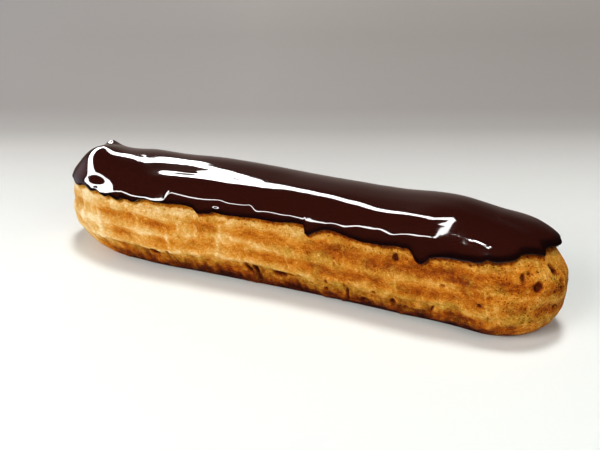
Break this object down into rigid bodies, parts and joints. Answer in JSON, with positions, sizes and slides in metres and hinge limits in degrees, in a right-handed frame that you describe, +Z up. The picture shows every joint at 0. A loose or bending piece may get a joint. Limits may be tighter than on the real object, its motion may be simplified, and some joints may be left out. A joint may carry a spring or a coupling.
{
  "type": "chocolate eclair",
  "caption": "Baked choux pastry finger with piped ridges along its sides and a glossy chocolate glaze poured over its top.",
  "frame": {"origin": "middle of the bounding box, on the surface that the eclair rests on", "axes": "+X along the eclair, +Z up from its flat underside, -Y towards its front"},
  "size_m": [0.1556, 0.0324, 0.033],
  "materials": {
    "choux": "baked golden brown crust, matte with a faint egg-wash sheen",
    "glaze": "set dark chocolate glaze, smooth and glossy"
  },
  "bodies": {
    "root": {"choux_pastry": "choux", "chocolate_glaze": "glaze"}
  },
  "joints": []
}
